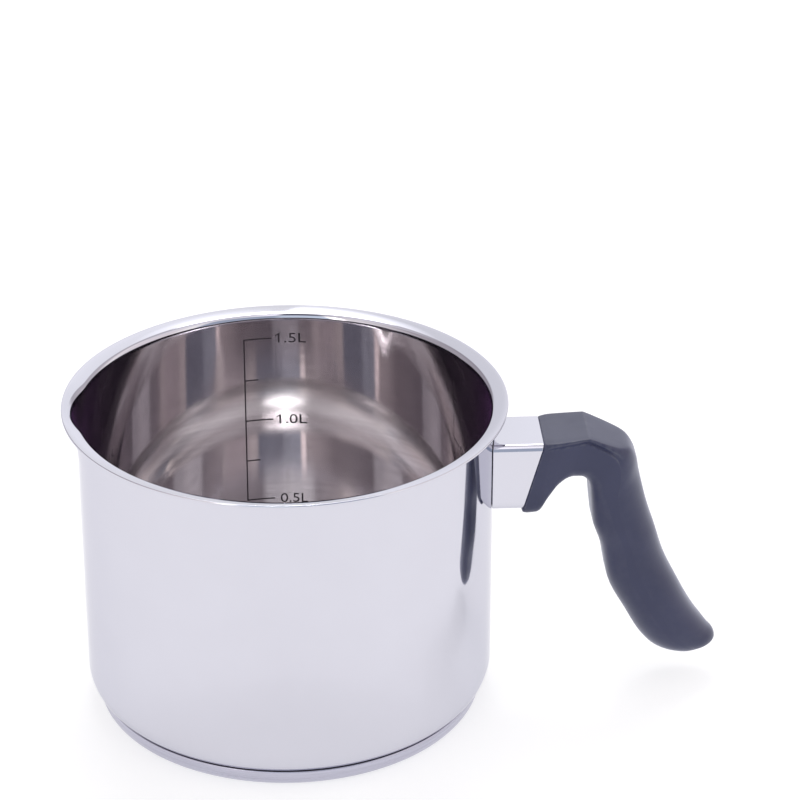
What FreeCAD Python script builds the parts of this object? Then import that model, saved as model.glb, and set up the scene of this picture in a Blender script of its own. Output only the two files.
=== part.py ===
import FreeCAD, Part
import math
import os

# Milk pan: millimetres, +Z up, +X towards the handle.
# The origin is the centre of the base, on the surface that the pan stands on.

# Pan body, drawn from one sheet
wall_outer_radius = 70.8
body_sheet = 0.8
rim_height = 112.4
corner_radius = 10.0
lip_width = 4.8
lip_slope_deg = 14.5
lip_bend_radius = 1.0

# Pouring spout, pressed into the rim opposite the handle
spout_radius = 35.0
spout_depth = 2.2
spout_height = 13.0

# Sandwich base
cap_sheet = 0.6
cap_inset = 3.6
cap_corner_radius = 4.0
cap_seam = 0.15
disc_thickness = 3.7
disc_edge_clearance = 0.3
braze_gap = 0.1

# Ferrule, a square sleeve between the wall and the grip
ferrule_width = 24.5
ferrule_height = 24.6
ferrule_sheet = 1.0
ferrule_edge_radius = 2.5
ferrule_drop = 14.4
ferrule_top_length = 16.6
ferrule_bottom_length = 9.6
ferrule_wall_gap = 0.2

# Tang, a strap on a curved foot welded to the wall
tang_width = 14.0
tang_thickness = 2.5
tang_drop = 5.0
tang_reach = 15.6
tang_end_radius = 3.0
foot_width = 17.0
foot_thickness = 1.5
foot_top_margin = 1.5
foot_height = 19.0
weld_gap = 0.05
slot_clearance = 0.15

# Grip, a solid moulding
grip_reach = 63.6
grip_drop = 89.0
grip_lip_drop = 1.1
facet_length = 15.4
facet_rise_deg = 5.0
facet_fall_deg = 22.5
spigot_length = 4.5
spigot_clearance = 0.2

# Screw from the underside of the grip's bridge, with its washers
screw_offset = 10.1
screw_radius = 2.0
screw_tip = 1.3
screw_head_radius = 3.9
screw_head_height = 2.6
recess_width = 1.1
recess_span = 4.6
recess_depth = 1.5
thread_clearance = 0.05
shank_clearance = 0.3
tip_clearance = 0.6
clamp_wall = 2.2
washer_outer_radius = 4.4
washer_thickness = 0.8
spring_outer_radius = 3.6
spring_thickness = 1.0
spring_slit = 0.6
spring_slit_deg = 30.0
washer_bore_clearance = 0.15
counterbore_clearance = 0.3

overrun = 20.0

# Places that several pieces share
wall_inner_radius = wall_outer_radius - body_sheet
floor_height = cap_sheet + disc_thickness + braze_gap
corner_centre_radius = wall_outer_radius - corner_radius
corner_centre_height = floor_height + corner_radius
cap_radius = wall_outer_radius - cap_inset
ferrule_top = rim_height - ferrule_drop
ferrule_bottom = ferrule_top - ferrule_height
ferrule_top_end = wall_outer_radius + ferrule_top_length
ferrule_bottom_end = wall_outer_radius + ferrule_bottom_length
tang_middle = ferrule_top - tang_drop
tang_under = tang_middle - tang_thickness / 2
tang_over = tang_middle + tang_thickness / 2
tang_end = ferrule_top_end + tang_reach
screw_place = ferrule_top_end + screw_offset
clamp_face = tang_under - slot_clearance - clamp_wall

# Each row is one cross-section of the grip, from the bridge to the tip.
# Columns: inner edge out and down, outer edge out and down, as shares of the
# grip's reach and drop; then width, inner rounding and outer rounding, as
# shares of the half width of the ferrule.
grip_section_shares = [
    (-0.032, 0.289, 0.048, -0.012, 1.00, 0.20, 0.20),
    (0.024, 0.229, 0.108, -0.025, 0.98, 0.25, 0.20),
    (0.077, 0.176, 0.160, -0.040, 0.95, 0.28, 0.22),
    (0.142, 0.149, 0.237, -0.061, 0.92, 0.30, 0.30),
    (0.204, 0.148, 0.334, -0.036, 0.91, 0.30, 0.60),
    (0.250, 0.180, 0.428, 0.000, 0.90, 0.34, 0.76),
    (0.267, 0.236, 0.502, 0.053, 0.90, 0.40, 0.80),
    (0.275, 0.309, 0.536, 0.176, 0.90, 0.48, 0.82),
    (0.286, 0.376, 0.588, 0.324, 0.90, 0.55, 0.82),
    (0.338, 0.489, 0.635, 0.425, 0.90, 0.60, 0.82),
    (0.379, 0.635, 0.688, 0.544, 0.90, 0.62, 0.83),
    (0.480, 0.777, 0.778, 0.679, 0.90, 0.65, 0.83),
    (0.574, 0.893, 0.866, 0.796, 0.88, 0.68, 0.82),
    (0.665, 0.957, 0.951, 0.881, 0.80, 0.68, 0.76),
    (0.755, 0.981, 0.998, 0.932, 0.64, 0.56, 0.60),
    (0.820, 0.988, 0.978, 0.958, 0.38, 0.34, 0.36),
]


def point(x, z, y=0):
    return FreeCAD.Vector(x, y, z)


def straight(start, end):
    return Part.LineSegment(start, end).toShape()


def polar(centre, radius, angle):
    turn = math.radians(angle)
    return point(centre.x + radius * math.cos(turn), centre.z + radius * math.sin(turn))


def bend(centre, radius, start, end):
    middle = polar(centre, radius, (start + end) / 2)
    return Part.Arc(polar(centre, radius, start), middle, polar(centre, radius, end)).toShape()


def turned(edges):
    face = Part.Face(Part.Wire(edges))
    return face.revolve(FreeCAD.Vector(), FreeCAD.Vector(0, 0, 1), 360)


def chain(points):
    loop = points + points[:1]
    return [straight(a, b) for a, b in zip(loop, loop[1:])]


def upright(radius, x, low, high):
    return Part.makeCylinder(radius, high - low, point(x, low))


def block(x_range, y_range, z_range):
    size = [high - low for low, high in (x_range, y_range, z_range)]
    return Part.makeBox(*size, point(x_range[0], z_range[0], y_range[0]))


def corner_under(radius):
    reach = radius - corner_centre_radius
    return corner_centre_height - math.sqrt(corner_radius ** 2 - reach ** 2)


def lip_places():
    sheet_turn = 90 + lip_slope_deg
    bend_x = wall_outer_radius + lip_bend_radius
    inside_radius = lip_bend_radius + body_sheet
    edge_x = wall_outer_radius + lip_width
    slope = math.radians(lip_slope_deg)
    bend_end = polar(point(bend_x, 0), inside_radius, sheet_turn)
    rise = bend_end.z + (edge_x - bend_end.x) * math.tan(slope)
    centre = point(bend_x, rim_height - rise)
    edge_top = point(edge_x, rim_height)
    edge_under = edge_top + point(math.sin(slope), -math.cos(slope)) * body_sheet
    return centre, edge_top, edge_under, sheet_turn


def spout_cylinder(radius):
    centre = lip_places()[0]
    low = point(-wall_inner_radius, centre.z - spout_height)
    high = point(-wall_inner_radius - spout_depth, centre.z)
    along = (high - low).normalize()
    inward = FreeCAD.Vector(along.z, 0, -along.x)
    start = low + inward * spout_radius - along * overrun
    return Part.makeCylinder(radius, spout_height + overrun * 2, start, along)


def pan_body():
    centre, edge_top, edge_under, sheet_turn = lip_places()
    corner = point(corner_centre_radius, corner_centre_height)
    inside_radius = lip_bend_radius + body_sheet
    floor_inside = floor_height + body_sheet
    edges = [
        straight(point(0, floor_height), point(corner.x, floor_height)),
        bend(corner, corner_radius, -90, 0),
        straight(point(wall_outer_radius, corner.z), point(wall_outer_radius, centre.z)),
        bend(centre, lip_bend_radius, 180, sheet_turn),
        straight(polar(centre, lip_bend_radius, sheet_turn), edge_under),
        straight(edge_under, edge_top),
        straight(edge_top, polar(centre, inside_radius, sheet_turn)),
        bend(centre, inside_radius, sheet_turn, 180),
        straight(point(wall_inner_radius, centre.z), point(wall_inner_radius, corner.z)),
        bend(corner, corner_radius - body_sheet, 0, -90),
        straight(point(corner.x, floor_inside), point(0, floor_inside)),
        straight(point(0, floor_inside), point(0, floor_height)),
    ]
    shell = turned(edges)

    # The spout's own sheet bulges outside the wall and stops inside the lip.
    middle = body_sheet / 2
    foot = centre.z - spout_height
    lip_middle = (edge_top + edge_under) / 2
    bend_middle = polar(centre, lip_bend_radius + middle, sheet_turn)
    zone = turned(chain([
        point(wall_outer_radius - middle, foot),
        point(lip_middle.x, foot),
        lip_middle,
        bend_middle,
        point(wall_outer_radius - middle, centre.z),
    ]))
    scoop = spout_cylinder(spout_radius)
    bulge = spout_cylinder(spout_radius + body_sheet).common(zone)
    return shell.fuse(bulge).cut(scoop).removeSplitter()


def base_cap():
    inside = cap_radius - cap_sheet
    top = corner_under(inside) - cap_seam
    centre = point(cap_radius - cap_corner_radius, cap_corner_radius)
    inner_round = cap_corner_radius - cap_sheet
    return turned([
        straight(point(0, 0), point(centre.x, 0)),
        bend(centre, cap_corner_radius, -90, 0),
        straight(point(cap_radius, centre.z), point(cap_radius, top)),
        straight(point(cap_radius, top), point(inside, top)),
        straight(point(inside, top), point(inside, centre.z)),
        bend(centre, inner_round, 0, -90),
        straight(point(centre.x, cap_sheet), point(0, cap_sheet)),
        straight(point(0, cap_sheet), point(0, 0)),
    ])


def heat_disc():
    # The disc is pressed round the pan's corner and fills the cap.
    corner = point(corner_centre_radius, corner_centre_height)
    outside = corner_radius + braze_gap
    edge = cap_radius - cap_sheet - disc_edge_clearance
    edge_turn = math.degrees(math.acos((edge - corner.x) / outside))
    top_edge = polar(corner, outside, -edge_turn)
    under = point(cap_radius - cap_corner_radius, cap_corner_radius)
    under_round = cap_corner_radius - cap_sheet - disc_edge_clearance
    rest = under.z - under_round
    disc = turned([
        straight(point(0, rest), point(under.x, rest)),
        bend(under, under_round, -90, 0),
        straight(point(edge, under.z), top_edge),
        bend(corner, outside, -edge_turn, -90),
        straight(point(corner.x, corner.z - outside), point(0, corner.z - outside)),
        straight(point(0, corner.z - outside), point(0, rest)),
    ])
    seat = Part.makeCylinder(under.x, rest - cap_sheet, point(0, cap_sheet))
    return disc.fuse(seat).removeSplitter()


def square_tube_wire(x, half_width, low, high, radius):
    return section_wire(point(x, low), point(x, high), half_width, radius, radius)


def section_wire(inner, outer, half_width, inner_round, outer_round):
    # A rounded rectangle that stands on the line from inner to outer, and spreads along Y.
    along = (outer - inner).normalize()
    depth = (outer - inner).Length

    def at(up, across):
        return inner + along * up + FreeCAD.Vector(0, across, 0)

    def rounded(centre_up, centre_across, radius, start):
        turns = [math.radians(start + turn) for turn in (0, 45, 90)]
        stops = [at(centre_up + radius * math.sin(t), centre_across + radius * math.cos(t)) for t in turns]
        return Part.Arc(*stops).toShape()

    in_side = half_width - inner_round
    out_side = half_width - outer_round
    out_up = depth - outer_round
    return Part.Wire([
        straight(at(0, -in_side), at(0, in_side)),
        rounded(inner_round, in_side, inner_round, -90),
        straight(at(inner_round, half_width), at(out_up, half_width)),
        rounded(out_up, out_side, outer_round, 0),
        straight(at(depth, out_side), at(depth, -out_side)),
        rounded(out_up, -out_side, outer_round, 90),
        straight(at(out_up, -half_width), at(inner_round, -half_width)),
        rounded(inner_round, -in_side, inner_round, 180),
    ])


def slanted_slab(start, end):
    # The space between two planes that lie along the ferrule's slanted end.
    top = ferrule_top + overrun
    low = ferrule_bottom - overrun
    lean = (ferrule_top_end - ferrule_bottom_end) / ferrule_height
    top_x = ferrule_top_end + lean * overrun
    low_x = ferrule_bottom_end - lean * overrun
    outline = chain([
        point(low_x + start, low, -overrun),
        point(low_x + end, low, -overrun),
        point(top_x + end, top, -overrun),
        point(top_x + start, top, -overrun),
    ])
    return Part.Face(Part.Wire(outline)).extrude(FreeCAD.Vector(0, overrun * 2, 0))


def ferrule_space(inset, start, end):
    wire = square_tube_wire(
        start,
        ferrule_width / 2 - inset,
        ferrule_bottom + inset,
        ferrule_top - inset,
        ferrule_edge_radius - min(inset, ferrule_sheet),
    )
    return Part.Face(wire).extrude(FreeCAD.Vector(end - start, 0, 0))


def handle_ferrule():
    start = wall_inner_radius - overrun
    end = ferrule_top_end + overrun
    sleeve = ferrule_space(0, start, end).cut(ferrule_space(ferrule_sheet, start, end))
    wall = upright(wall_outer_radius + ferrule_wall_gap, 0, 0, rim_height)
    beyond = slanted_slab(0, overrun * 2)
    return sleeve.cut(wall).cut(beyond)


def handle_tang():
    inside = wall_outer_radius + weld_gap
    outside = inside + foot_thickness
    foot_top = ferrule_top - ferrule_sheet - foot_top_margin
    ring = upright(outside, 0, foot_top - foot_height, foot_top)
    half_foot = foot_width / 2
    foot = ring.common(block((0, outside), (-half_foot, half_foot), (0, rim_height)))
    half_strip = tang_width / 2
    square_end = tang_end - tang_end_radius
    strip = block((0, square_end), (-half_strip, half_strip), (tang_under, tang_over))
    nose_side = half_strip - tang_end_radius
    nose = block((0, tang_end), (-nose_side, nose_side), (tang_under, tang_over))
    tang = foot.fuse([strip, nose])
    for side in (-1, 1):
        ear = upright(tang_end_radius, square_end, tang_under, tang_over)
        ear.translate(FreeCAD.Vector(0, side * nose_side, 0))
        tang = tang.fuse(ear)
    wall = upright(inside, 0, 0, rim_height)
    thread = upright(screw_radius + thread_clearance, screw_place, tang_under, tang_over)
    return tang.cut([wall, thread]).removeSplitter()


def grip_sections():
    half_width = ferrule_width / 2
    lean = (ferrule_top_end - ferrule_bottom_end) / ferrule_height
    lip_x = ferrule_bottom_end - lean * grip_lip_drop
    lip_z = ferrule_bottom - grip_lip_drop
    top = point(ferrule_top_end, ferrule_top)
    radius = ferrule_edge_radius
    wires = [section_wire(point(lip_x, lip_z), top, half_width, radius, radius)]
    for in_out, in_down, out_out, out_down, width, in_round, out_round in grip_section_shares:
        inner = top + point(in_out * grip_reach, -in_down * grip_drop)
        outer = top + point(out_out * grip_reach, -out_down * grip_drop)
        across = [half_width * share for share in (width, in_round, out_round)]
        wires.append(section_wire(inner, outer, *across))
    return wires


def above(corner, angle):
    # Everything above a plane that tilts about Y through the given corner.
    slab = block((-grip_reach, grip_reach), (-ferrule_width, ferrule_width), (0, overrun))
    slab.rotate(FreeCAD.Vector(), FreeCAD.Vector(0, 1, 0), -angle)
    slab.translate(corner)
    return slab


def handle_grip():
    wires = grip_sections()
    collar = Part.makeLoft(wires[:2], True, True)
    grip = Part.makeLoft(wires[1:], True, False).fuse(collar)
    top = point(ferrule_top_end, ferrule_top)
    rise = facet_length * math.tan(math.radians(facet_rise_deg))
    ridge = top + point(facet_length, rise)
    grip = grip.cut([above(top, facet_rise_deg), above(ridge, -facet_fall_deg)])

    inset = ferrule_sheet + spigot_clearance
    spigot = ferrule_space(inset, wall_outer_radius, ferrule_top_end + overrun)
    spigot = spigot.common(slanted_slab(-spigot_length, spigot_length))
    grip = grip.fuse(spigot)

    half_slot = tang_width / 2 + slot_clearance
    slot = block(
        (wall_outer_radius, tang_end + slot_clearance),
        (-half_slot, half_slot),
        (tang_under - slot_clearance, tang_over + slot_clearance),
    )
    tip = tang_over + screw_tip + tip_clearance
    shank = upright(screw_radius + shank_clearance, screw_place, clamp_face, tip)
    mouth = clamp_face - overrun
    counterbore = upright(washer_outer_radius + counterbore_clearance, screw_place, mouth, clamp_face)
    return grip.cut([slot, shank, counterbore])


def head_seat():
    return clamp_face - washer_thickness - spring_thickness


def handle_screw():
    seat = head_seat()
    under = seat - screw_head_height
    shank = upright(screw_radius, screw_place, seat, tang_over + screw_tip)
    head = upright(screw_head_radius, screw_place, under, seat)
    half_wide = recess_width / 2
    half_span = recess_span / 2
    depth = (under, under + recess_depth)
    slots = []
    for half_x, half_y in ((half_span, half_wide), (half_wide, half_span)):
        slots.append(block((screw_place - half_x, screw_place + half_x), (-half_y, half_y), depth))
    return shank.fuse(head).cut(slots)


def washer_ring(outer_radius, low, high):
    bore = screw_radius + washer_bore_clearance
    return upright(outer_radius, screw_place, low, high).cut(upright(bore, screw_place, low, high))


def flat_washer():
    return washer_ring(washer_outer_radius, clamp_face - washer_thickness, clamp_face)


def spring_washer():
    seat = head_seat()
    ring = washer_ring(spring_outer_radius, seat, seat + spring_thickness)
    half_slit = spring_slit / 2
    slit = block((0, overrun), (-half_slit, half_slit), (-spring_thickness, spring_thickness))
    slit.rotate(FreeCAD.Vector(), FreeCAD.Vector(1, 0, 0), spring_slit_deg)
    slit.translate(point(screw_place, seat + spring_thickness / 2))
    return ring.cut(slit)


nodes = {
    "pan_body": pan_body,
    "heat_disc": heat_disc,
    "base_cap": base_cap,
    "handle_ferrule": handle_ferrule,
    "handle_tang": handle_tang,
    "handle_grip": handle_grip,
    "handle_screw": handle_screw,
    "flat_washer": flat_washer,
    "spring_washer": spring_washer,
}

os.makedirs("parts", exist_ok=True)
for name, make in nodes.items():
    shape = make()
    shape.exportStep(f"parts/{name}.step")
    box = shape.BoundBox
    corners = [round(v, 2) for v in (box.XMin, box.YMin, box.ZMin, box.XMax, box.YMax, box.ZMax)]
    print(name, len(shape.Solids), shape.isValid(), round(shape.Volume, 1), corners)
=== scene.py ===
import bpy
import bmesh
import math
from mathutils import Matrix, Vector


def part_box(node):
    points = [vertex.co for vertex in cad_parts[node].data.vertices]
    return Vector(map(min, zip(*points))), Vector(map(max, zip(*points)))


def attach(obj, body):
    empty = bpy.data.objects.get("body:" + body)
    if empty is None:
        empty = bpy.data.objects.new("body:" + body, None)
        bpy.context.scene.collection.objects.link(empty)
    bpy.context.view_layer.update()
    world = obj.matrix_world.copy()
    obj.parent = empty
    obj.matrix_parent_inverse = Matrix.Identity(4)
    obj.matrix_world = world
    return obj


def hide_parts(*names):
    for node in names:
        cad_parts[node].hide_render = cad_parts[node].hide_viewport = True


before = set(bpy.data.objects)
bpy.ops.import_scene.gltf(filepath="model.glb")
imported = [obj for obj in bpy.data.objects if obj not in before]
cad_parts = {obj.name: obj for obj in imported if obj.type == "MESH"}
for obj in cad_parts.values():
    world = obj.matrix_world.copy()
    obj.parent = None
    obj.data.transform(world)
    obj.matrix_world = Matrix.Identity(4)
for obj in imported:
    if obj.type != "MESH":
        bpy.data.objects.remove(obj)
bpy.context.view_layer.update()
mm = 0.001
print("frame loaded:", sorted(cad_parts))


# Small helpers

def markWear(bm):
    wear = bm.verts.layers.float.new("wear")      # 1 on tight convex edges, 0 on flats and hollows
    for edge in bm.edges:
        if len(edge.link_faces) != 2 or edge.calc_length() == 0:
            continue
        across = sum(face.calc_area() for face in edge.link_faces) / 2 / edge.calc_length()
        bend = edge.calc_face_angle_signed(0.0) / max(across, 1e-9) * mm      # turn in each millimetre
        for vert in edge.verts:
            vert[wear] = max(vert[wear], min(1.0, bend))


def newPiece(name, bm, materials, slotName, *nodes):
    for face in bm.faces:
        face.smooth = True
    markWear(bm)
    mesh = bpy.data.meshes.new(name)
    bm.to_mesh(mesh)
    bm.free()
    piece = bpy.data.objects.new(name, mesh)
    bpy.context.scene.collection.objects.link(piece)
    for material in materials:
        mesh.materials.append(material)
    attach(piece, "root")
    if nodes:
        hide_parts(*nodes)
    return piece


def ringOf(bm, corners):
    verts = [bm.verts.new(corner) for corner in corners]
    bm.faces.new(verts)
    return verts


def roundCorner(bm, vert, radius, turn, segments):
    reach = radius * math.tan(math.radians(turn) / 2)      # tangent length of the arc
    bmesh.ops.bevel(bm, geom=[vert], offset=reach, segments=segments, profile=0.5,
                    affect="VERTICES", offset_type="OFFSET", material=-1, clamp_overlap=False)


def dropFaces(bm):
    bmesh.ops.delete(bm, geom=list(bm.faces), context="FACES_ONLY")


def spinProfile(bm, steps):
    axisEdges = [e for e in bm.edges if all(abs(v.co.x) < 1e-7 for v in e.verts)]
    bmesh.ops.delete(bm, geom=axisEdges, context="EDGES")
    bmesh.ops.spin(bm, geom=bm.verts[:] + bm.edges[:], cent=(0, 0, 0), axis=(0, 0, 1),
                   angle=2 * math.pi, steps=steps, use_merge=True)
    bmesh.ops.remove_doubles(bm, verts=bm.verts, dist=1e-6)


def addModifier(piece, kind, name, **values):
    modifier = piece.modifiers.new(name, kind)
    for key, value in values.items():
        setattr(modifier, key, value)
    return modifier


def meshOf(piece):
    bpy.context.view_layer.update()
    return bpy.data.meshes.new_from_object(piece.evaluated_get(bpy.context.evaluated_depsgraph_get()))


# Nodes that the materials and the surround share

def addNode(tree, kind, inputs=None, **values):
    node = tree.nodes.new(kind)
    for key, value in values.items():
        setattr(node, key, value)
    for socket, value in (inputs or {}).items():
        if isinstance(value, bpy.types.NodeSocket):
            tree.links.new(value, node.inputs[socket])
        else:
            node.inputs[socket].default_value = value
    return node


def sumOf(tree, first, second, operation="ADD"):
    return addNode(tree, "ShaderNodeMath", {0: first, 1: second}, operation=operation).outputs[0]


noiseRange = (0.3, 0.7)      # where most of a noise lies


def spread(tree, value, low, high):
    inputs = {"Value": value, "From Min": noiseRange[0], "From Max": noiseRange[1],
              "To Min": low, "To Max": high}
    return addNode(tree, "ShaderNodeMapRange", inputs).outputs["Result"]


def mixOf(tree, share, first, second):
    inputs = {"Fac": share, "Color1": first, "Color2": second}
    return addNode(tree, "ShaderNodeMixRGB", inputs).outputs["Color"]


def objectPlace(tree):
    return addNode(tree, "ShaderNodeTexCoord").outputs["Object"]


def cloudy(tree, scale, detail=3.0):
    inputs = {"Vector": objectPlace(tree), "Scale": scale, "Detail": detail}
    return addNode(tree, "ShaderNodeTexNoise", inputs).outputs["Fac"]


def vectorOf(tree, operation, inputs, output="Vector"):
    return addNode(tree, "ShaderNodeVectorMath", inputs, operation=operation).outputs[output]


def brushed(tree, along, across):
    place = objectPlace(tree)
    level = vectorOf(tree, "MULTIPLY", {0: place, 1: (1, 1, 0)})
    radius = vectorOf(tree, "LENGTH", {0: level}, "Value")
    height = addNode(tree, "ShaderNodeSeparateXYZ", {0: place}).outputs["Z"]
    # rings on floors, hoops on walls
    line = sumOf(tree, sumOf(tree, radius, height), across, "MULTIPLY")
    slow = vectorOf(tree, "SCALE", {0: level, "Scale": along})
    lift = addNode(tree, "ShaderNodeCombineXYZ", {"Z": line}).outputs[0]
    inputs = {"Vector": vectorOf(tree, "ADD", {0: slow, 1: lift}), "Scale": 1.0, "Detail": 2.0}
    return addNode(tree, "ShaderNodeTexNoise", inputs).outputs["Fac"]


def edgeWear(tree):
    return addNode(tree, "ShaderNodeAttribute", attribute_name="wear").outputs["Fac"]


def bumped(tree, shader, height, strength, depth):
    bump = addNode(tree, "ShaderNodeBump", {"Height": height, "Strength": strength, "Distance": depth})
    tree.links.new(bump.outputs["Normal"], shader.inputs["Normal"])


# Materials

def newMaterial(name, metallic, roughness):
    material = bpy.data.materials.new(name)
    material.use_nodes = True
    shader = material.node_tree.nodes["Principled BSDF"]
    shader.inputs["Metallic"].default_value = metallic
    shader.inputs["Roughness"].default_value = roughness
    return material, material.node_tree, shader


def polishedSteel():
    s = {"clear": (0.658, 0.656, 0.722, 1), "hazy": (0.638, 0.635, 0.7, 1),
         "grazing": (0.84, 0.84, 0.87, 1), "smooth": 0.03, "dull": 0.085, "worn": 0.05,
         "cloud": 55.0, "cloudDetail": 4.0}
    material, tree, shader = newMaterial("polishedSteel", 1.0, s["smooth"])
    shader.inputs["Specular Tint"].default_value = s["grazing"]
    haze = cloudy(tree, s["cloud"], s["cloudDetail"])
    tree.links.new(mixOf(tree, haze, s["clear"], s["hazy"]), shader.inputs["Base Color"])
    worn = sumOf(tree, edgeWear(tree), s["worn"], "MULTIPLY")
    rough = sumOf(tree, spread(tree, haze, s["smooth"], s["dull"]), worn)
    tree.links.new(rough, shader.inputs["Roughness"])
    return material


satinSettings = {
    "zones": {
        "satinWall": {"smooth": 0.04, "dull": 0.052, "lean": 0.5,
                      "light": (0.75, 0.726, 0.742, 1), "dark": (0.67, 0.646, 0.66, 1)},
        "satinCorner": {"smooth": 0.2, "dull": 0.25, "lean": 0.9,
                        "light": (0.8, 0.768, 0.773, 1), "dark": (0.727, 0.695, 0.7, 1)},
        "satinFloor": {"smooth": 0.06, "dull": 0.08, "lean": 0.6,
                       "light": (0.75, 0.726, 0.742, 1), "dark": (0.67, 0.646, 0.66, 1)},
    },
    "along": 45.0, "across": 1150.0, "metallic": 0.99,
    "sheen": 0.04, "sheenTint": (0.8, 0.3, 1.0, 1),      # the violet cast of heated steel
    "leanTurn": 0.25,                                    # the gloss runs up the wall
}


def satinSteel(name):
    s = satinSettings
    zone = s["zones"][name]
    material, tree, shader = newMaterial(name, s["metallic"], zone["smooth"])
    shader.inputs["Sheen Weight"].default_value = s["sheen"]
    shader.inputs["Sheen Tint"].default_value = s["sheenTint"]
    shader.inputs["Anisotropic"].default_value = zone["lean"]
    shader.inputs["Anisotropic Rotation"].default_value = s["leanTurn"]
    tangent = addNode(tree, "ShaderNodeTangent", direction_type="RADIAL", axis="Z")
    tree.links.new(tangent.outputs["Tangent"], shader.inputs["Tangent"])
    lines = brushed(tree, s["along"], s["across"])
    share = spread(tree, lines, 0.0, 1.0)
    tree.links.new(mixOf(tree, share, zone["dark"], zone["light"]), shader.inputs["Base Color"])
    tree.links.new(spread(tree, lines, zone["dull"], zone["smooth"]), shader.inputs["Roughness"])
    return material


def baseSteel():
    s = {"light": (0.56, 0.555, 0.65, 1), "dark": (0.48, 0.475, 0.56, 1), "smooth": 0.16, "dull": 0.28,
         "along": 30.0, "across": 1400.0, "depth": 0.02 * mm, "strength": 0.1, "worn": 0.1}
    material, tree, shader = newMaterial("baseSteel", 1.0, s["smooth"])
    lines = brushed(tree, s["along"], s["across"])
    share = spread(tree, lines, 0.0, 1.0)
    tree.links.new(mixOf(tree, share, s["dark"], s["light"]), shader.inputs["Base Color"])
    worn = sumOf(tree, edgeWear(tree), s["worn"], "MULTIPLY")
    rough = sumOf(tree, spread(tree, lines, s["dull"], s["smooth"]), worn)
    tree.links.new(rough, shader.inputs["Roughness"])
    bumped(tree, shader, lines, s["strength"], s["depth"])
    return material


def gripPlastic():
    # the worn colour is partly chafed plastic and partly a painted highlight along the crests
    s = {"dark": (0.0095, 0.0135, 0.057, 1), "light": (0.014, 0.0185, 0.068, 1),
         "worn": (0.085, 0.088, 0.125, 1), "roughness": 0.46, "polish": 0.38, "specular": 0.42,
         "coat": 1.0, "coatRoughness": 0.42, "coatIor": 1.3,      # a faint bloom that shows at a slant
         "sheen": 0.25, "sheenRoughness": 0.4, "sheenTint": (0.62, 0.68, 1.0, 1),
         "mottle": 60.0, "chafeAndGlint": 420.0, "mostChafeAndGlint": 0.7,
         "grain": 1700.0, "grainDetail": 2.0, "strength": 0.22, "depth": 0.06 * mm}
    material, tree, shader = newMaterial("gripPlastic", 0.0, s["roughness"])
    shader.inputs["Specular IOR Level"].default_value = s["specular"]
    shader.inputs["Coat Weight"].default_value = s["coat"]
    shader.inputs["Coat Roughness"].default_value = s["coatRoughness"]
    shader.inputs["Coat IOR"].default_value = s["coatIor"]
    shader.inputs["Sheen Weight"].default_value = s["sheen"]
    shader.inputs["Sheen Roughness"].default_value = s["sheenRoughness"]
    shader.inputs["Sheen Tint"].default_value = s["sheenTint"]
    mottle = spread(tree, cloudy(tree, s["mottle"]), 0.0, 1.0)
    color = mixOf(tree, mottle, s["dark"], s["light"])
    # lighter speckled colour on tight convex edges: partly chafed plastic, partly a painted highlight
    # along the crests
    chafeAndGlint = spread(tree, cloudy(tree, s["chafeAndGlint"]), 0.0, s["mostChafeAndGlint"])
    worn = sumOf(tree, edgeWear(tree), chafeAndGlint, "MULTIPLY")
    tree.links.new(mixOf(tree, worn, color, s["worn"]), shader.inputs["Base Color"])
    tree.links.new(spread(tree, mottle, s["roughness"], s["polish"]), shader.inputs["Roughness"])
    bumped(tree, shader, cloudy(tree, s["grain"], s["grainDetail"]), s["strength"], s["depth"])
    return material


def etchedInk():
    s = {"dark": (0.022, 0.016, 0.022, 1), "faded": (0.045, 0.036, 0.043, 1), "patch": 700.0,
         "roughness": 0.6, "smooth": 0.5, "dull": 0.7}
    material, tree, shader = newMaterial("etchedInk", 0.0, s["roughness"])
    patch = spread(tree, cloudy(tree, s["patch"]), 0.0, 1.0)
    tree.links.new(mixOf(tree, patch, s["dark"], s["faded"]), shader.inputs["Base Color"])
    tree.links.new(spread(tree, patch, s["smooth"], s["dull"]), shader.inputs["Roughness"])
    return material


def turnedAluminium():
    s = {"light": (0.78, 0.78, 0.79, 1), "dark": (0.64, 0.64, 0.66, 1), "smooth": 0.3, "dull": 0.45,
         "along": 25.0, "across": 900.0, "depth": 0.03 * mm, "strength": 0.2}
    material, tree, shader = newMaterial("turnedAluminium", 1.0, s["smooth"])
    lines = brushed(tree, s["along"], s["across"])
    tree.links.new(mixOf(tree, lines, s["dark"], s["light"]), shader.inputs["Base Color"])
    tree.links.new(spread(tree, lines, s["dull"], s["smooth"]), shader.inputs["Roughness"])
    bumped(tree, shader, lines, s["strength"], s["depth"])
    return material


def speckledMetal(name, light, dark, smooth, dull, speck):
    s = {"detail": 5.0, "strength": 0.15, "depth": 0.02 * mm}
    material, tree, shader = newMaterial(name, 1.0, smooth)
    specks = cloudy(tree, speck, s["detail"])
    tree.links.new(mixOf(tree, specks, dark, light), shader.inputs["Base Color"])
    tree.links.new(spread(tree, specks, dull, smooth), shader.inputs["Roughness"])
    bumped(tree, shader, specks, s["strength"], s["depth"])
    return material


steel = polishedSteel()
satinWall = satinSteel("satinWall")
satinCorner = satinSteel("satinCorner")
satinFloor = satinSteel("satinFloor")
base = baseSteel()
plastic = gripPlastic()
ink = etchedInk()
aluminium = turnedAluminium()
rolledSteel = speckledMetal("rolledSteel", (0.6, 0.59, 0.6, 1), (0.42, 0.41, 0.43, 1), 0.35, 0.55, 260.0)
zincPlate = speckledMetal("zincPlate", (0.74, 0.73, 0.7, 1), (0.58, 0.58, 0.6, 1), 0.25, 0.42, 900.0)

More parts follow.
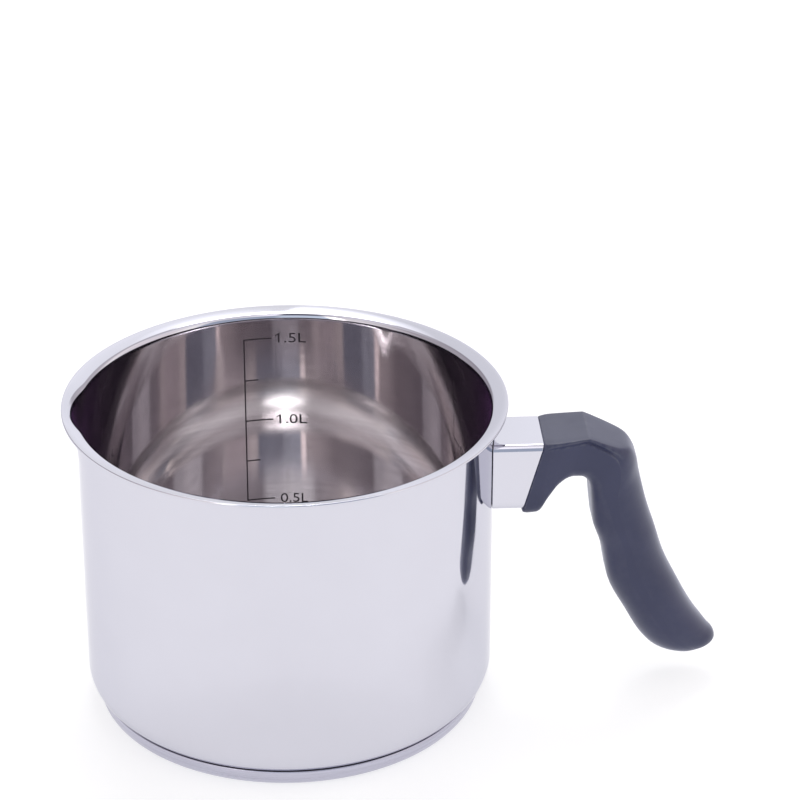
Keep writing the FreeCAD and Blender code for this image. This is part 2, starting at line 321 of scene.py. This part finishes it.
hiddenFinishes = {"heat_disc": aluminium, "handle_tang": rolledSteel, "handle_screw": zincPlate,
                  "flat_washer": zincPlate, "spring_washer": zincPlate}
for nodeName, finish in hiddenFinishes.items():
    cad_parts[nodeName].material_slots[0].material = finish
print("materials made")


# Pan shell: one closed profile, spun about Z

panBottom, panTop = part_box("pan_body")
panSettings = {                       # mm, and the lip's slope in degrees
    "lipWidth": 4.8, "sheet": 0.8, "lipSlope": 14.5, "lipBend": 1.0,
    "corner": 10.0, "cornerIn": 12.3, "edgeRound": 0.25,
    "spoutRadius": 35.0, "spoutDepth": 2.2, "spoutHeight": 13.0, "spoutSoft": 0.5,
    "satinDrop": 2.0,                 # the satin ends this far below the lip's bend
    "spoutHalfAngle": 0.6,            # radians about Z
    "floorUpright": 0.9, "flatUpright": 0.9999,      # least Z of a face's normal
    "steps": 256, "spoutRings": 14, "bendInSegments": 8, "bendOutSegments": 6,
    "cornerSegments": 16, "cornerInSegments": 24, "edgeSegments": 4,
}


def panProfile():
    s = panSettings
    sheet = s["sheet"]
    slope = math.radians(s["lipSlope"])
    edgeTop = Vector((panTop.x / mm - sheet * math.sin(slope), panTop.z / mm))
    edgeUnder = edgeTop + Vector((math.sin(slope), -math.cos(slope))) * sheet
    wallOut = edgeTop.x - s["lipWidth"]
    wallIn = wallOut - sheet
    floorUnder = panBottom.z / mm
    underBend = edgeUnder.y - (edgeUnder.x - wallOut) * math.tan(slope)
    overBend = edgeTop.y - (edgeTop.x - wallIn) * math.tan(slope)
    return {
        "floorUnder": (0, floorUnder), "cornerOut": (wallOut, floorUnder),
        "footOut": (wallOut, underBend - s["spoutHeight"]), "bendOut": (wallOut, underBend),
        "edgeUnder": tuple(edgeUnder), "edgeTop": tuple(edgeTop),
        "bendIn": (wallIn, overBend), "footIn": (wallIn, underBend - s["spoutHeight"]),
        "cornerIn": (wallIn, floorUnder + sheet), "floorOver": (0, floorUnder + sheet),
    }


def panWall():
    return panProfile()["cornerOut"][0] * mm


def spoutPush(x, y, z, wallIn, foot):
    s = panSettings
    reach = wallIn + s["spoutDepth"] * max(0.0, z - foot) / s["spoutHeight"]
    centre = reach - s["spoutRadius"]
    angle = math.atan2(y, -x)
    side = s["spoutRadius"] ** 2 - (centre * math.sin(angle)) ** 2
    if abs(angle) > s["spoutHalfAngle"] or side < 0:
        return 0.0
    over = centre * math.cos(angle) + math.sqrt(side) - wallIn
    return (over + math.sqrt(over * over + s["spoutSoft"] ** 2)) / 2


def buildPan():
    s = panSettings
    places = panProfile()
    bm = bmesh.new()
    verts = ringOf(bm, [(x * mm, 0, z * mm) for x, z in places.values()])
    named = dict(zip(places, verts))
    lipTurn = 90 - s["lipSlope"]
    roundCorner(bm, named["bendIn"], (s["lipBend"] + s["sheet"]) * mm, lipTurn, s["bendInSegments"])
    roundCorner(bm, named["bendOut"], s["lipBend"] * mm, lipTurn, s["bendOutSegments"])
    roundCorner(bm, named["cornerOut"], s["corner"] * mm, 90, s["cornerSegments"])
    roundCorner(bm, named["cornerIn"], s["cornerIn"] * mm, 90, s["cornerInSegments"])
    roundCorner(bm, named["edgeTop"], s["edgeRound"] * mm, 90, s["edgeSegments"])
    roundCorner(bm, named["edgeUnder"], s["edgeRound"] * mm, 90, s["edgeSegments"])
    dropFaces(bm)
    wallIn, foot = places["footIn"]
    spoutZone = [e for e in bm.edges if all(v.co.z / mm > foot - 0.01 for v in e.verts)
                 and e.calc_length() / mm > s["spoutHeight"] / 2]
    bmesh.ops.subdivide_edges(bm, edges=spoutZone, cuts=s["spoutRings"])
    spinProfile(bm, s["steps"])
    edge = places["edgeTop"][0]
    for vert in bm.verts:
        x, y, z = vert.co / mm
        radius = math.hypot(x, y)
        if x > 0 or radius < wallIn - 0.1 or z < foot:
            continue
        fade = min(1.0, (edge - radius) / (edge - wallIn - s["sheet"]))
        push = spoutPush(x, y, z, wallIn, foot) * max(0.0, fade)
        vert.co.x += push * mm * x / radius
        vert.co.y += push * mm * y / radius
    bmesh.ops.recalc_face_normals(bm, faces=bm.faces)
    middle = wallIn + s["sheet"] / 2
    finishes = [steel, satinWall, satinCorner, satinFloor]
    for face in bm.faces:
        centre = face.calc_center_median() / mm
        inward = face.normal.x * centre.x + face.normal.y * centre.y < -1e-4
        floor = face.normal.z > s["floorUpright"] and math.hypot(centre.x, centre.y) < middle
        if floor and face.normal.z > s["flatUpright"]:
            face.material_index = finishes.index(satinFloor)
        elif floor or (inward and centre.z < places["cornerIn"][1] + s["cornerIn"]):
            face.material_index = finishes.index(satinCorner)
        elif inward and centre.z < places["bendIn"][1] - s["satinDrop"]:
            face.material_index = finishes.index(satinWall)
    newPiece("panShell", bm, finishes, "body_steel", "pan_body")


buildPan()
print("pan shell made")


# Base cup: the pressed cap under the pan

capBottom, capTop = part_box("base_cap")
capSettings = {                       # mm
    "sheet": 0.6, "corner": 4.0, "edgeRound": 0.25,
    "steps": 256, "cornerSegments": 12, "cornerInSegments": 8, "edgeSegments": 5, "edgeInSegments": 3,
}


def buildBase():
    s = capSettings
    radius = capTop.x / mm
    top = capTop.z / mm
    inside = radius - s["sheet"]
    places = {
        "under": (0, 0), "corner": (radius, 0), "edge": (radius, top),
        "edgeIn": (inside, top), "cornerIn": (inside, s["sheet"]), "over": (0, s["sheet"]),
    }
    bm = bmesh.new()
    verts = ringOf(bm, [(x * mm, 0, z * mm) for x, z in places.values()])
    named = dict(zip(places, verts))
    roundCorner(bm, named["corner"], s["corner"] * mm, 90, s["cornerSegments"])
    roundCorner(bm, named["cornerIn"], (s["corner"] - s["sheet"]) * mm, 90, s["cornerInSegments"])
    roundCorner(bm, named["edge"], s["edgeRound"] * mm, 90, s["edgeSegments"])
    roundCorner(bm, named["edgeIn"], s["edgeRound"] * mm, 90, s["edgeInSegments"])
    dropFaces(bm)
    spinProfile(bm, s["steps"])
    bmesh.ops.recalc_face_normals(bm, faces=bm.faces)
    newPiece("baseCup", bm, [base], "base_steel", "base_cap")


buildBase()
print("base cup made")


# Ferrule: square sleeve between the wall and the grip

ferruleLow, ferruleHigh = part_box("handle_ferrule")
ferruleSettings = {                   # mm, and the angle in degrees
    "edge": 2.5, "sheet": 1.0, "slant": 7.0, "wallGap": 0.2, "lipRound": 0.22, "lipAngle": 50,
    "edgeSegments": 8, "lipSegments": 2,
    "endCuts": 11,                    # so that the ends follow the round wall
}


def buildFerrule():
    s = ferruleSettings
    side, low, high = ferruleHigh.y, ferruleLow.z, ferruleHigh.z
    bm = bmesh.new()
    verts = ringOf(bm, [(0, -side, low), (0, side, low), (0, side, high), (0, -side, high)])
    for vert in verts:
        roundCorner(bm, vert, s["edge"] * mm, 90, s["edgeSegments"])
    dropFaces(bm)
    flats = [e for e in bm.edges if abs(e.verts[0].co.z - e.verts[1].co.z) < 1e-7]
    bmesh.ops.subdivide_edges(bm, edges=flats, cuts=s["endCuts"])
    made = bmesh.ops.extrude_edge_only(bm, edges=list(bm.edges))
    end = [v for v in made["geom"] if isinstance(v, bmesh.types.BMVert)]
    start = panWall() + s["wallGap"] * mm
    for vert in bm.verts:
        vert.co.x = math.sqrt(start ** 2 - vert.co.y ** 2)
    for vert in end:
        lean = (high - vert.co.z) / (high - low)
        vert.co.x = ferruleHigh.x - s["slant"] * mm * lean
    bmesh.ops.recalc_face_normals(bm, faces=bm.faces)
    piece = newPiece("ferruleSleeve", bm, [steel], "ferrule_steel", "handle_ferrule")
    addModifier(piece, "SOLIDIFY", "wall", thickness=s["sheet"] * mm, offset=-1.0, use_even_offset=True)
    addModifier(piece, "BEVEL", "lips", width=s["lipRound"] * mm, segments=s["lipSegments"],
                limit_method="ANGLE", angle_limit=math.radians(s["lipAngle"]))
    addModifier(piece, "WEIGHTED_NORMAL", "flats", keep_sharp=False)


buildFerrule()
print("ferrule made")


# Grip: sections from the ferrule to the tip, bridged one to the next

gripSettings = {
    # mm from the top end of the ferrule: inner edge x and z, outer edge x and z, half width,
    # inner rounding and outer rounding
    "sections": [
        (-7.2, -25.25, -0.13, -0.45, 11.8, 2.2, 2.2), (-6.8, -26.2, 0.5, 0.02, 12.25, 2.6, 2.4),
        (-5.4, -26.6, 1.3, 0.1, 12.25, 2.8, 1.9),
        (-2.0, -26.3, 3.0, 0.3, 12.25, 2.9, 1.4), (1.5, -21.4, 6.9, 0.6, 12.0, 3.0, 1.1),
        (4.9, -16.8, 10.2, 0.9, 11.65, 3.4, 1.0), (8.2, -14.4, 14.2, 1.25, 11.3, 3.7, 1.0),
        (9.3, -14.0, 15.4, 1.3, 11.25, 3.7, 1.0), (10.3, -13.8, 16.6, 0.9, 11.2, 3.7, 1.1),
        (13.0, -13.9, 20.6, -0.9, 11.1, 3.8, 1.4), (15.9, -16.2, 26.0, -3.3, 11.0, 4.2, 2.6),
        (16.8, -19.6, 30.0, -5.0, 11.0, 4.7, 5.6), (17.2, -24.0, 32.6, -8.6, 11.0, 5.2, 8.5),
        (17.5, -27.5, 34.1, -15.7, 11.0, 5.9, 10.0), (18.2, -33.5, 37.4, -28.8, 11.0, 6.7, 10.0),
        (21.5, -43.5, 40.4, -37.8, 11.0, 7.4, 10.0), (24.1, -56.5, 43.8, -48.4, 11.0, 7.6, 10.2),
        (30.5, -69.2, 49.5, -60.4, 11.0, 8.0, 10.2), (36.5, -79.5, 55.1, -70.8, 10.8, 8.3, 10.0),
        (42.3, -85.2, 60.5, -78.4, 9.8, 8.3, 9.3), (48.0, -87.3, 63.5, -82.9, 7.85, 6.9, 7.35),
        (52.2, -87.9, 62.2, -85.3, 4.65, 4.2, 4.4),
    ],
    # the soft channel under the edge of the top facets: outer x and depth of it there
    "channel": [(1.5, 0.0), (4.0, 0.3), (12.0, 0.4), (17.5, 0.8), (23.0, 0.75), (27.0, 0.4), (31.0, 0.0)],
    "channelDrop": 0.5, "channelWidth": 0.8, "channelStep": 0.35,
    "channelShare": 0.8,              # share of the outer rounding that lies above the channel
    "crowding": 1.8, "between": 5, "cornerSegments": 8, "sideCuts": 28, "acrossCuts": 6,
    "tipBulge": 1.6, "tipStart": 58, "tipEnd": 88, "tipSteps": 7,      # mm, degrees and a count
    "holeClearance": 0.3, "holeDepth": 20.0, "holeSegments": 64, "sharpAngle": 50,
}


def easySlopes(places, values):
    steps = [(b - a) / (t - s) for a, b, s, t in zip(values, values[1:], places, places[1:])]
    slopes = [steps[0]]
    for before, after in zip(steps, steps[1:]):
        slopes.append(0.0 if before * after <= 0 else 2 * before * after / (before + after))
    return slopes + [steps[-1]]


def denseSections(rows, between):
    middles = [Vector((r[0] + r[2], r[1] + r[3])) / 2 + Vector((r[2], r[3])) for r in rows]
    places = [0.0]
    for a, b in zip(middles, middles[1:]):
        places.append(places[-1] + (b - a).length)
    columns = list(zip(*rows))
    slopes = [easySlopes(places, column) for column in columns]
    dense = []
    for i in range(len(rows) - 1):
        span = places[i + 1] - places[i]
        for k in range(between):
            t = k / between
            end = 3 * t * t - 2 * t ** 3
            leave, arrive = (t ** 3 - 2 * t * t + t) * span, (t ** 3 - t * t) * span
            dense.append([(1 - end) * c[i] + leave * m[i] + end * c[i + 1] + arrive * m[i + 1]
                          for c, m in zip(columns, slopes)])
    return dense + [list(rows[-1])]


def channelDepth(outX):
    stops = gripSettings["channel"]
    for (a, low), (b, high) in zip(stops, stops[1:]):
        if a <= outX <= b:
            return low + (high - low) * (outX - a) / (b - a)
    return 0.0


def gripRing(section):
    s = gripSettings
    inX, inZ, outX, outZ, half, inRound, outRound = section
    inner, outer = Vector((inX, 0, inZ)), Vector((outX, 0, outZ))
    side, along, depth = Vector((0, half, 0)), (outer - inner).normalized(), (outer - inner).length
    ring = bmesh.new()
    verts = ringOf(ring, [inner - side, inner + side, outer + side, outer - side])
    for vert, radius in zip(verts, (inRound, inRound, outRound, outRound)):
        roundCorner(ring, vert, radius, 90, s["cornerSegments"])
    dropFaces(ring)
    flanks = [e for e in ring.edges if all(half - abs(v.co.y) < 1e-4 for v in e.verts)]
    across = [e for e in ring.edges if abs((e.verts[0].co - e.verts[1].co).dot(along)) < 1e-4]
    bmesh.ops.subdivide_edges(ring, edges=flanks, cuts=s["sideCuts"])
    bmesh.ops.subdivide_edges(ring, edges=across, cuts=s["acrossCuts"])
    origin = Vector((ferruleHigh.x, 0, ferruleHigh.z))
    flat = depth - inRound - outRound
    for vert in ring.verts:
        drop = depth - (vert.co - inner).dot(along)
        if half - abs(vert.co.y) < 1e-4:      # crowd the side's points under the edge
            share = (drop - outRound) / flat
            nearer = flat * (share - max(0.0, share) ** s["crowding"])
            vert.co += along * nearer
            drop -= nearer
        below = drop - outRound * s["channelShare"] - s["channelDrop"]
        width = s["channelWidth"] if below < 0 else s["channelStep"]      # soft above, a small step below
        vert.co.y -= channelDepth(outX) * math.exp(-(below / width) ** 2) * vert.co.y / half
        vert.co = origin + vert.co * mm
    mesh = bpy.data.meshes.new("ring")
    ring.to_mesh(mesh)
    ring.free()
    return mesh


def closeTip(bm, face):
    s = gripSettings
    centre = face.calc_center_median()
    inner = Vector(s["sections"][-3][:2]) + Vector(s["sections"][-3][2:4])
    last = Vector(s["sections"][-1][:2]) + Vector(s["sections"][-1][2:4])
    ahead = Vector((last.x - inner.x, 0, last.y - inner.y)).normalized()
    start = [vert.co.copy() for vert in face.verts]
    first = math.radians(s["tipStart"])      # the dome goes on from the last section's slope
    for step in range(1, s["tipSteps"] + 1):
        turn = first + (math.radians(s["tipEnd"]) - first) * step / s["tipSteps"]
        lift = s["tipBulge"] * mm * (math.sin(turn) - math.sin(first)) / (1 - math.sin(first))
        face = bmesh.ops.extrude_discrete_faces(bm, faces=[face])["faces"][0]
        for vert, place in zip(face.verts, start):
            vert.co = centre + (place - centre) * math.cos(turn) / math.cos(first) + ahead * lift


def drillGrip(piece):
    s = gripSettings
    low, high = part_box("flat_washer")
    radius = (high.x - low.x) / 2 + s["holeClearance"] * mm
    depth = s["holeDepth"] * mm
    bm = bmesh.new()
    bmesh.ops.create_cone(bm, cap_ends=True, segments=s["holeSegments"], radius1=radius, radius2=radius,
                          depth=depth)
    bmesh.ops.translate(bm, vec=((low.x + high.x) / 2, 0, high.z - depth / 2), verts=bm.verts)
    mesh = bpy.data.meshes.new("drill")
    bm.to_mesh(mesh)
    bm.free()
    drill = bpy.data.objects.new("drill", mesh)
    bpy.context.scene.collection.objects.link(drill)
    hole = addModifier(piece, "BOOLEAN", "screwHole", object=drill, operation="DIFFERENCE",
                       solver="EXACT")
    drilled = meshOf(piece)
    piece.modifiers.remove(hole)
    piece.data = drilled
    drilled.set_sharp_from_angle(angle=math.radians(s["sharpAngle"]))
    bpy.data.objects.remove(drill)


def buildGrip():
    s = gripSettings
    bm = bmesh.new()
    rings = []
    for section in denseSections(s["sections"], s["between"]):
        mesh = gripRing(section)
        before = set(bm.edges)
        bm.from_mesh(mesh)
        bpy.data.meshes.remove(mesh)
        rings.append([e for e in bm.edges if e not in before])
    for first, second in zip(rings, rings[1:]):
        bmesh.ops.bridge_loops(bm, edges=first + second)
    bmesh.ops.contextual_create(bm, geom=rings[0])
    tip = bmesh.ops.contextual_create(bm, geom=rings[-1])["faces"]
    closeTip(bm, tip[0])
    bmesh.ops.recalc_face_normals(bm, faces=bm.faces)
    piece = newPiece("gripMoulding", bm, [plastic], "grip_moulding", "handle_grip")
    drillGrip(piece)


buildGrip()
print("grip made")


# Volume scale: strokes and numerals on the inner wall

scaleSettings = {                     # degrees about Z, and mm
    "bar": 101.07, "longEnd": 92.8, "shortEnd": 97.0, "label": 91.0,
    "half": 36.2, "litre": 65.7, "line": 0.5, "lift": 0.03, "letters": 3.75, "labelWidth": 10.2,
    "flagReach": 0.95, "flagDrop": 0.8, "flagLine": 0.42, "stem": 0.35,
    "stepsInMm": 2,                   # so that a stroke follows the round wall
}


def scaleRadius():
    return panWall() / mm - panSettings["sheet"] - scaleSettings["lift"]


def onWall(u, v, startAngle, height):
    angle = math.radians(startAngle) - u / scaleRadius()      # u runs to the right, seen from the middle
    place = Vector((math.cos(angle), math.sin(angle), 0)) * scaleRadius()
    return (place + Vector((0, 0, height + v))) * mm


def addStroke(bm, start, end, width, startAngle, height):
    start, reach = Vector(start), Vector(end) - Vector(start)
    aside = Vector((-reach.y, reach.x)).normalized() * width
    steps = max(1, round(reach.length * scaleSettings["stepsInMm"]))
    made = bmesh.ops.create_grid(bm, x_segments=steps, y_segments=1, size=0.5)
    for vert in made["verts"]:
        spot = start + reach * (vert.co.x + 0.5) + aside * vert.co.y
        vert.co = onWall(spot.x, spot.y, startAngle, height)


def addNumerals(bm, words, height):
    s = scaleSettings
    curve = bpy.data.curves.new("numerals", "FONT")
    curve.body = words
    text = bpy.data.objects.new("numerals", curve)
    bpy.context.scene.collection.objects.link(text)
    mesh = meshOf(text)
    bpy.data.objects.remove(text)
    xs = [v.co.x for v in mesh.vertices]
    ys = [v.co.y for v in mesh.vertices]
    for vert in mesh.vertices:
        u = (vert.co.x - min(xs)) / (max(xs) - min(xs)) * s["labelWidth"]
        v = (vert.co.y - min(ys)) / (max(ys) - min(ys)) * s["letters"]
        vert.co = onWall(u, v - s["letters"] / 2, s["label"], height)
    bm.from_mesh(mesh)
    bpy.data.meshes.remove(mesh)
    if words.startswith("1"):      # the font's 1 is a bare stem
        top = (s["letters"] - s["flagLine"]) / 2
        low = (-s["flagReach"], top - s["flagDrop"])
        addStroke(bm, low, (s["stem"], top), s["flagLine"], s["label"], height)


def buildScale():
    s = scaleSettings
    bm = bmesh.new()
    addStroke(bm, (0, -s["line"] / 2), (0, s["litre"] + s["line"] / 2), s["line"], s["bar"], s["half"])
    for quarter in range(5):
        height = s["half"] + s["litre"] * quarter / 4
        end = s["shortEnd"] if quarter % 2 else s["longEnd"]
        reach = math.radians(s["bar"] - end) * scaleRadius()
        addStroke(bm, (0, 0), (reach, 0), s["line"], s["bar"], height)
        if quarter % 2 == 0:
            addNumerals(bm, f"{0.5 + quarter / 4:.1f}L", height)
    for face in bm.faces:
        centre = face.calc_center_median()
        if face.normal.x * centre.x + face.normal.y * centre.y > 0:
            face.normal_flip()
    newPiece("volumeScale", bm, [ink], "body_steel")


buildScale()
print("volume scale made")


# Stage, light and camera

floorSettings = {
    "reach": 6, "drop": 0.0002,                    # metres
    "roughness": 0.9, "color": (0.5, 0.5, 0.5, 1),
    "glow": 0.63, "glowColor": (1, 1, 1, 1),       # a light table
}


def buildStage():
    s = floorSettings
    bm = bmesh.new()
    bmesh.ops.create_grid(bm, x_segments=1, y_segments=1, size=s["reach"])
    mesh = bpy.data.meshes.new("floor")
    bm.to_mesh(mesh)
    bm.free()
    floor = bpy.data.objects.new("floor", mesh)
    floor.location.z = -s["drop"]
    bpy.context.scene.collection.objects.link(floor)
    material, tree, shader = newMaterial("paleFloor", 0.0, s["roughness"])
    shader.inputs["Base Color"].default_value = s["color"]
    shader.inputs["Emission Color"].default_value = s["glowColor"]
    shader.inputs["Emission Strength"].default_value = s["glow"]
    mesh.materials.append(material)


def addLight(name, place, size, power):
    data = bpy.data.lights.new(name, "AREA")
    data.shape = "ELLIPSE"
    data.size, data.size_y = size
    data.energy = power
    light = bpy.data.objects.new(name, data)
    light.location = place
    aim = Vector((0, 0, 0)) - Vector(place)      # towards the foot of the pan
    light.rotation_euler = aim.to_track_quat("-Z", "Y").to_euler()
    bpy.context.scene.collection.objects.link(light)


studioSettings = {
    # place and size in metres, power in watts
    "lights": {"softbox": ((0.0, 0.75, 1.65), (0.9, 0.6), 4),
               "lamp": ((0.02, 0.74, 1.55), (0.2, 0.08), 1.2)},
    # degrees round Z from the camera's side, towards the handle, and the surround's tone there
    "tent": [
        (-180, (1.19, 1.19, 1.22)), (-174, (0.93, 0.93, 0.96)), (-160, (0.9, 0.9, 0.93)),
        (-152, (0.4, 0.37, 0.4)), (-118, (0.5, 0.465, 0.49)), (-84, (0.52, 0.475, 0.495)),
        (-60, (0.85, 0.79, 0.79)), (-46, (1.0, 0.93, 0.92)), (-36, (1.05, 0.98, 0.97)),
        (-34, (2.9, 2.7, 2.55)), (-28, (2.9, 2.7, 2.55)), (-26, (0.8, 0.89, 1.01)),
        (0, (0.76, 0.85, 0.96)), (5, (0.46, 0.51, 0.61)), (44, (0.45, 0.5, 0.6)),
        (50, (1.25, 1.18, 1.14)), (58, (1.25, 1.18, 1.14)), (66, (1.0, 0.92, 0.93)),
        (98, (1.0, 0.92, 0.93)), (108, (1.2, 1.13, 1.1)), (122, (0.68, 0.63, 0.65)),
        (144, (0.56, 0.53, 0.56)), (152, (1.08, 1.08, 1.11)), (168, (1.14, 1.14, 1.17)),
        (173, (1.2, 1.2, 1.23)), (180, (1.19, 1.19, 1.22)),
    ],
    "roof": [
        (-180, (2.35, 2.35, 2.38)), (-168, (1.85, 1.85, 1.88)), (-150, (0.55, 0.53, 0.55)),
        (-110, (0.75, 0.72, 0.75)), (-75, (0.95, 0.92, 0.95)), (-50, (0.9, 0.87, 0.9)),
        (-28, (0.15, 0.15, 0.18)), (0, (0.15, 0.15, 0.18)), (6, (1.6, 1.55, 1.6)),
        (26, (1.1, 1.07, 1.1)), (42, (0.85, 0.82, 0.85)), (75, (1.05, 1.02, 1.05)),
        (110, (0.75, 0.72, 0.75)), (150, (0.55, 0.53, 0.55)),
        (168, (1.85, 1.85, 1.88)), (180, (2.35, 2.35, 2.38)),
    ],
    "roofStart": 0.7, "roofFull": 0.8,      # height of the direction where the roof takes over
}


def toneRamp(tree, share, tones):
    ramp = addNode(tree, "ShaderNodeValToRGB", {"Fac": share})
    stops = ramp.color_ramp.elements
    for angle, tone in tones:
        stops.new((angle + 180) / 360).color = (*tone, 1)
    stops.remove(stops[0])
    stops.remove(stops[-1])
    return ramp.outputs["Color"]


def buildLight():
    s = studioSettings
    world = bpy.data.worlds.new("studio")
    bpy.context.scene.world = world
    bpy.context.scene.view_settings.view_transform = "Standard"
    world.use_nodes = True
    tree = world.node_tree
    place = addNode(tree, "ShaderNodeTexCoord")
    split = addNode(tree, "ShaderNodeSeparateXYZ", {0: place.outputs["Generated"]})
    front = sumOf(tree, split.outputs["Y"], -1.0, "MULTIPLY")
    around = sumOf(tree, split.outputs["X"], front, "ARCTAN2")
    turn = {"Value": around, "From Min": -math.pi, "From Max": math.pi}
    share = addNode(tree, "ShaderNodeMapRange", turn).outputs["Result"]
    rise = {"Value": split.outputs["Z"], "From Min": s["roofStart"], "From Max": s["roofFull"]}
    high = addNode(tree, "ShaderNodeMapRange", rise).outputs["Result"]
    tent = toneRamp(tree, share, s["tent"])
    roof = toneRamp(tree, share, s["roof"])
    tone = mixOf(tree, high, tent, roof)
    tree.links.new(tone, tree.nodes["Background"].inputs["Color"])
    for name, (lightPlace, size, power) in s["lights"].items():
        addLight(name, lightPlace, size, power)


cameraSettings = {                    # mm and degrees
    "place": (-13.354, -908.472, 569.014), "tilt": 63.273, "turn": -3.3,
    "lens": 134.876, "sensor": 36.0, "nearest": 10,
}


def buildCamera():
    s = cameraSettings
    data = bpy.data.cameras.new("camera")
    data.lens = s["lens"]
    data.sensor_width = s["sensor"]
    data.clip_start = s["nearest"] * mm
    camera = bpy.data.objects.new("camera", data)
    camera.location = Vector(s["place"]) * mm
    camera.rotation_euler = (math.radians(s["tilt"]), 0, math.radians(s["turn"]))
    bpy.context.scene.collection.objects.link(camera)
    bpy.context.scene.camera = camera


buildStage()
buildLight()
buildCamera()
print("stage set")
